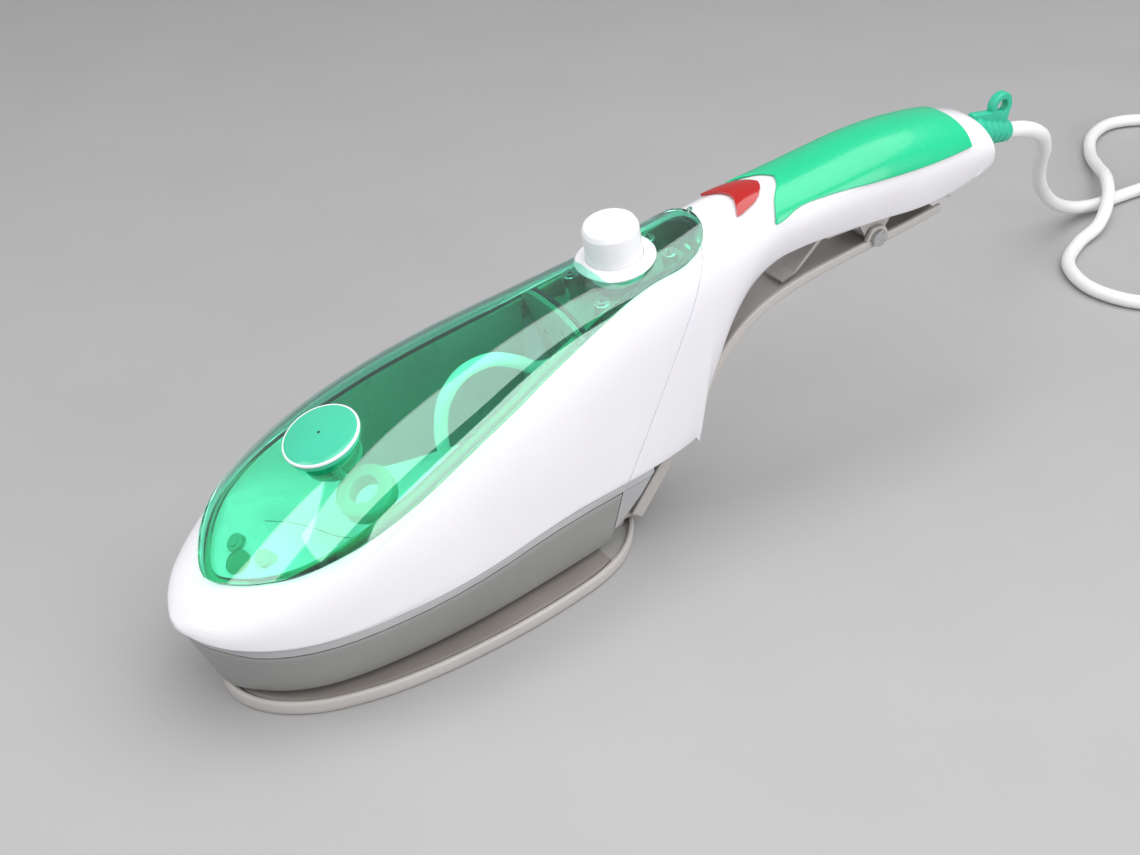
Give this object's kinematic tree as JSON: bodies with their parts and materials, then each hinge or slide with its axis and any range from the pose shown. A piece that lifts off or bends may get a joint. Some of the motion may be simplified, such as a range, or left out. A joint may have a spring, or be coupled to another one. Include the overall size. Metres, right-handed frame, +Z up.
{
  "type": "garment steamer",
  "caption": "Hand-held garment steamer with a water tank under a clear window, a pump knob, a filler cap, a spring trouser clamp, an oval steam sole and a mains cord.",
  "frame": {"origin": "middle of the steamer's own footprint on the floor, under the press tray it stands on, without its free cord", "axes": "+X from the nose to the cord end of the handle, +Z up, +Y across, so that the three make a right-handed frame"},
  "size_m": [0.7032, 0.1876, 0.142],
  "materials": {
    "white_plastic": "glossy",
    "green_plastic": "glossy",
    "green_clear": "clear tinted",
    "mint_clear": "clear pale",
    "red_clear": "glossy lens",
    "light_grey_plastic": "satin",
    "mid_grey_plastic": "satin",
    "warm_grey_plastic": "satin",
    "dark_plastic": "satin",
    "taupe_plastic": "matt",
    "silicone": "matt translucent",
    "gasket_rubber": "matt",
    "cord_cover": "smooth satin",
    "ceramic": "matt",
    "steel": "bright",
    "aluminium": "machined",
    "brass": "bright"
  },
  "bodies": {
    "steamer": {"front_casing": "white_plastic", "handle_casing": "white_plastic", "handle_cover": "white_plastic", "grip_cover": "green_plastic", "tank_cover": "green_clear", "indicator_lens": "red_clear", "tank_tray": "mint_clear", "tank_bulkhead": "green_clear", "suction_tube": "silicone", "suction_filter": "mint_clear", "filler_neck": "green_plastic", "pump_collar": "white_plastic", "pump_cylinder": "green_clear", "pump_spring": "steel", "inlet_valve": "brass", "outlet_tube": "silicone", "base_frame": "light_grey_plastic", "sole_skirt": "mid_grey_plastic", "soleplate": "aluminium", "chamber_gasket": "gasket_rubber", "chamber_cover": "aluminium", "steam_inlet": "brass", "heating_element": "steel", "thermostat": "ceramic", "thermal_fuse": "ceramic", "heat_shield": "steel", "indicator_lamp": "mint_clear", "terminal_block": "ceramic", "cord_clamp": "white_plastic", "cord_clamp_screw_1": "steel", "cord_clamp_screw_2": "steel", "cord_guard": "green_plastic", "cover_screw_1": "steel", "cover_screw_2": "steel", "clamp_bracket": "warm_grey_plastic", "bracket_screw_1": "steel", "bracket_screw_2": "steel", "hinge_pin": "steel", "clamp_spring": "steel", "power_cord": "cord_cover", "cord_coil": "cord_cover", "coil_tie": "dark_plastic", "cord_lead": "cord_cover", "plug_body": "white_plastic", "plug_pin_1": "brass", "plug_pin_2": "brass"},
    "clamp": {"clamp_lever": "warm_grey_plastic", "press_tray": "warm_grey_plastic", "press_plate": "taupe_plastic", "lever_screw_1": "steel", "lever_screw_2": "steel"},
    "pump": {"pump_knob": "white_plastic", "pump_plunger": "white_plastic", "piston_seal": "dark_plastic"},
    "cap": {"filler_cap": "green_plastic", "filler_seal": "silicone"}
  },
  "joints": [
    {"name": "clamp_hinge", "type": "hinge", "parent": "steamer", "child": "clamp", "pos_m": [0.11494, 0, 0.0987], "axis": [0, -1, 0], "range_deg": [0, 5], "stiffness_Nm_per_rad": 12, "springref_deg": -4.58, "deforming": ["clamp_spring"]},
    {"name": "pump_press", "type": "slide", "parent": "steamer", "child": "pump", "axis": [0.1942, 0, -0.981], "range_m": [0, 0.007], "stiffness_N_per_m": 500, "springref_m": -0.003, "deforming": ["pump_spring"]},
    {"name": "cap_lift", "type": "slide", "parent": "steamer", "child": "cap", "axis": [-0.3518, 0, 0.9361], "range_m": [0, 0.018]}
  ]
}
